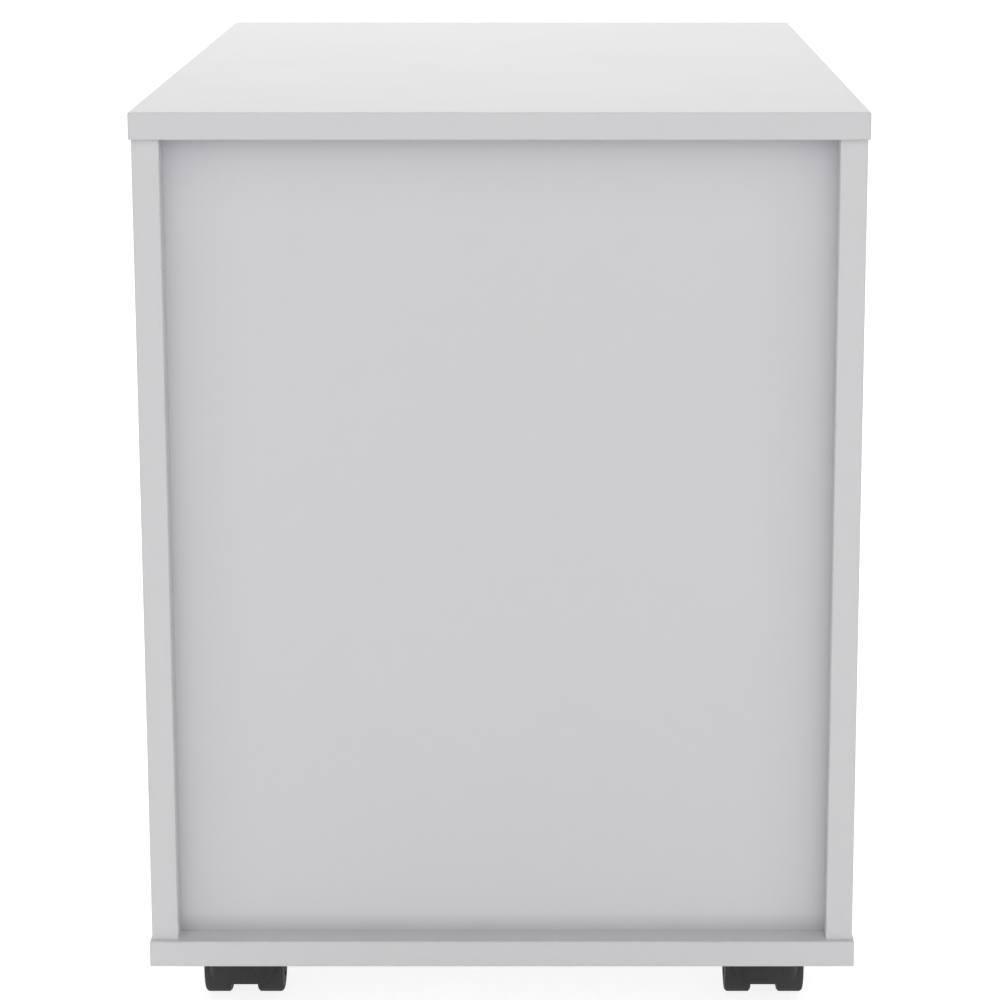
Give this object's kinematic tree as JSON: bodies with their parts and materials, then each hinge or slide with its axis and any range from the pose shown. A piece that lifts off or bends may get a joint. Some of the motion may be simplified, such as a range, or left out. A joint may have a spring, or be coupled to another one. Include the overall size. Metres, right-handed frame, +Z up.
{
  "type": "rolling pedestal cabinet",
  "caption": "White melamine pedestal cabinet on twin-wheel casters, with a lockable box drawer over a hanging-file drawer on roller runners and a recessed back panel.",
  "frame": {"origin": "on the floor, under the middle of the bounding box", "axes": "+Z up; the drawers face -Y and the plain back panel faces +Y; +X is the right of a person who faces the drawers"},
  "size_m": [0.402, 0.626, 0.54],
  "materials": {
    "white_melamine": "white melamine faced board with matching edge bands, satin with a fine pearl grain",
    "white_hardboard": "thin hardboard with a white lacquered face",
    "white_epoxy_steel": "folded sheet steel with white epoxy coat",
    "nylon": "natural nylon, moulded",
    "zinc_steel": "bright zinc plated steel",
    "beech": "fluted beech, raw",
    "satin_nickel": "satin nickel plate, fine brushed",
    "black_rail_plastic": "extruded black plastic",
    "hood_plastic": "moulded black nylon, fine spark texture",
    "wheel_plastic": "moulded black nylon, worn satin tread"
  },
  "bodies": {
    "cabinet": {"top_panel": "white_melamine", "bottom_panel": "white_melamine", "left_side_panel": "white_melamine", "right_side_panel": "white_melamine", "back_panel": "white_hardboard", "cam_bolts": "zinc_steel", "cam_discs": "zinc_steel", "wood_dowels": "beech", "joint_screws": "zinc_steel", "wood_screws": "zinc_steel", "lock_strike": "zinc_steel", "upper_left_cabinet_runner": "white_epoxy_steel", "upper_right_cabinet_runner": "white_epoxy_steel", "lower_left_cabinet_runner": "white_epoxy_steel", "lower_right_cabinet_runner": "white_epoxy_steel", "caster_plates": "zinc_steel", "caster_kingpins": "zinc_steel"},
    "upper_drawer": {"upper_drawer_front": "white_melamine", "upper_drawer_left_side": "white_melamine", "upper_drawer_right_side": "white_melamine", "upper_drawer_back": "white_melamine", "upper_drawer_bottom": "white_hardboard", "upper_drawer_handle": "satin_nickel", "upper_drawer_fasteners": "zinc_steel", "upper_left_drawer_runner": "white_epoxy_steel", "upper_right_drawer_runner": "white_epoxy_steel", "lock_housing": "satin_nickel"},
    "lower_drawer": {"lower_drawer_front": "white_melamine", "lower_drawer_left_side": "white_melamine", "lower_drawer_right_side": "white_melamine", "lower_drawer_back": "white_melamine", "lower_drawer_bottom": "white_hardboard", "lower_drawer_handle": "satin_nickel", "lower_drawer_fasteners": "zinc_steel", "lower_left_drawer_runner": "white_epoxy_steel", "lower_right_drawer_runner": "white_epoxy_steel", "left_file_rail": "black_rail_plastic", "right_file_rail": "black_rail_plastic"},
    "upper_front_rollers": {"upper_front_rollers": "nylon"},
    "upper_rear_rollers": {"upper_rear_rollers": "nylon"},
    "lower_front_rollers": {"lower_front_rollers": "nylon"},
    "lower_rear_rollers": {"lower_rear_rollers": "nylon"},
    "lock": {"lock_plug": "satin_nickel", "lock_cam": "zinc_steel"},
    "rear_left_swivel": {"rear_left_hood": "hood_plastic", "rear_left_axle": "zinc_steel"},
    "rear_left_inner_wheel": {"rear_left_inner_wheel": "wheel_plastic"},
    "rear_left_outer_wheel": {"rear_left_outer_wheel": "wheel_plastic"},
    "rear_right_swivel": {"rear_right_hood": "hood_plastic", "rear_right_axle": "zinc_steel"},
    "rear_right_inner_wheel": {"rear_right_inner_wheel": "wheel_plastic"},
    "rear_right_outer_wheel": {"rear_right_outer_wheel": "wheel_plastic"},
    "front_left_swivel": {"front_left_hood": "hood_plastic", "front_left_axle": "zinc_steel"},
    "front_left_inner_wheel": {"front_left_inner_wheel": "wheel_plastic"},
    "front_left_outer_wheel": {"front_left_outer_wheel": "wheel_plastic"},
    "front_right_swivel": {"front_right_hood": "hood_plastic", "front_right_axle": "zinc_steel"},
    "front_right_inner_wheel": {"front_right_inner_wheel": "wheel_plastic"},
    "front_right_outer_wheel": {"front_right_outer_wheel": "wheel_plastic"}
  },
  "joints": [
    {"name": "upper_drawer_slide", "type": "slide", "parent": "cabinet", "child": "upper_drawer", "axis": [0, -1, 0], "range_m": [0, 0.41]},
    {"name": "lower_drawer_slide", "type": "slide", "parent": "cabinet", "child": "lower_drawer", "axis": [0, -1, 0], "range_m": [0, 0.41]},
    {"name": "upper_front_roller_spin", "type": "hinge", "parent": "cabinet", "child": "upper_front_rollers", "pos_m": [0, -0.2515, 0.40105], "axis": [1, 0, 0], "continuous": true},
    {"name": "upper_rear_roller_spin", "type": "hinge", "parent": "upper_drawer", "child": "upper_rear_rollers", "pos_m": [0, 0.268, 0.40105], "axis": [1, 0, 0], "continuous": true},
    {"name": "lower_front_roller_spin", "type": "hinge", "parent": "cabinet", "child": "lower_front_rollers", "pos_m": [0, -0.2515, 0.08805], "axis": [1, 0, 0], "continuous": true},
    {"name": "lower_rear_roller_spin", "type": "hinge", "parent": "lower_drawer", "child": "lower_rear_rollers", "pos_m": [0, 0.268, 0.08805], "axis": [1, 0, 0], "continuous": true},
    {"name": "lock_turn", "type": "hinge", "parent": "upper_drawer", "child": "lock", "pos_m": [0, -0.268, 0.495], "axis": [0, 1, 0], "range_deg": [0, 90]},
    {"name": "rear_left_swivel_turn", "type": "hinge", "parent": "cabinet", "child": "rear_left_swivel", "pos_m": [-0.1555, 0.241, 0.04], "axis": [0, 0, 1], "continuous": true},
    {"name": "rear_left_inner_wheel_spin", "type": "hinge", "parent": "rear_left_swivel", "child": "rear_left_inner_wheel", "pos_m": [-0.1555, 0.221, 0.02], "axis": [1, 0, 0], "continuous": true},
    {"name": "rear_left_outer_wheel_spin", "type": "hinge", "parent": "rear_left_swivel", "child": "rear_left_outer_wheel", "pos_m": [-0.1555, 0.221, 0.02], "axis": [1, 0, 0], "continuous": true},
    {"name": "rear_right_swivel_turn", "type": "hinge", "parent": "cabinet", "child": "rear_right_swivel", "pos_m": [0.1555, 0.241, 0.04], "axis": [0, 0, 1], "continuous": true},
    {"name": "rear_right_inner_wheel_spin", "type": "hinge", "parent": "rear_right_swivel", "child": "rear_right_inner_wheel", "pos_m": [0.1555, 0.221, 0.02], "axis": [1, 0, 0], "continuous": true},
    {"name": "rear_right_outer_wheel_spin", "type": "hinge", "parent": "rear_right_swivel", "child": "rear_right_outer_wheel", "pos_m": [0.1555, 0.221, 0.02], "axis": [1, 0, 0], "continuous": true},
    {"name": "front_left_swivel_turn", "type": "hinge", "parent": "cabinet", "child": "front_left_swivel", "pos_m": [-0.1555, -0.215, 0.04], "axis": [0, 0, 1], "continuous": true},
    {"name": "front_left_inner_wheel_spin", "type": "hinge", "parent": "front_left_swivel", "child": "front_left_inner_wheel", "pos_m": [-0.1555, -0.235, 0.02], "axis": [1, 0, 0], "continuous": true},
    {"name": "front_left_outer_wheel_spin", "type": "hinge", "parent": "front_left_swivel", "child": "front_left_outer_wheel", "pos_m": [-0.1555, -0.235, 0.02], "axis": [1, 0, 0], "continuous": true},
    {"name": "front_right_swivel_turn", "type": "hinge", "parent": "cabinet", "child": "front_right_swivel", "pos_m": [0.1555, -0.215, 0.04], "axis": [0, 0, 1], "continuous": true},
    {"name": "front_right_inner_wheel_spin", "type": "hinge", "parent": "front_right_swivel", "child": "front_right_inner_wheel", "pos_m": [0.1555, -0.235, 0.02], "axis": [1, 0, 0], "continuous": true},
    {"name": "front_right_outer_wheel_spin", "type": "hinge", "parent": "front_right_swivel", "child": "front_right_outer_wheel", "pos_m": [0.1555, -0.235, 0.02], "axis": [1, 0, 0], "continuous": true}
  ],
  "couplings": [
    {"joint": "upper_front_roller_spin", "follows": "upper_drawer_slide", "rad_per_m": 100},
    {"joint": "upper_rear_roller_spin", "follows": "upper_drawer_slide", "rad_per_m": 100},
    {"joint": "lower_front_roller_spin", "follows": "lower_drawer_slide", "rad_per_m": 100},
    {"joint": "lower_rear_roller_spin", "follows": "lower_drawer_slide", "rad_per_m": 100}
  ]
}
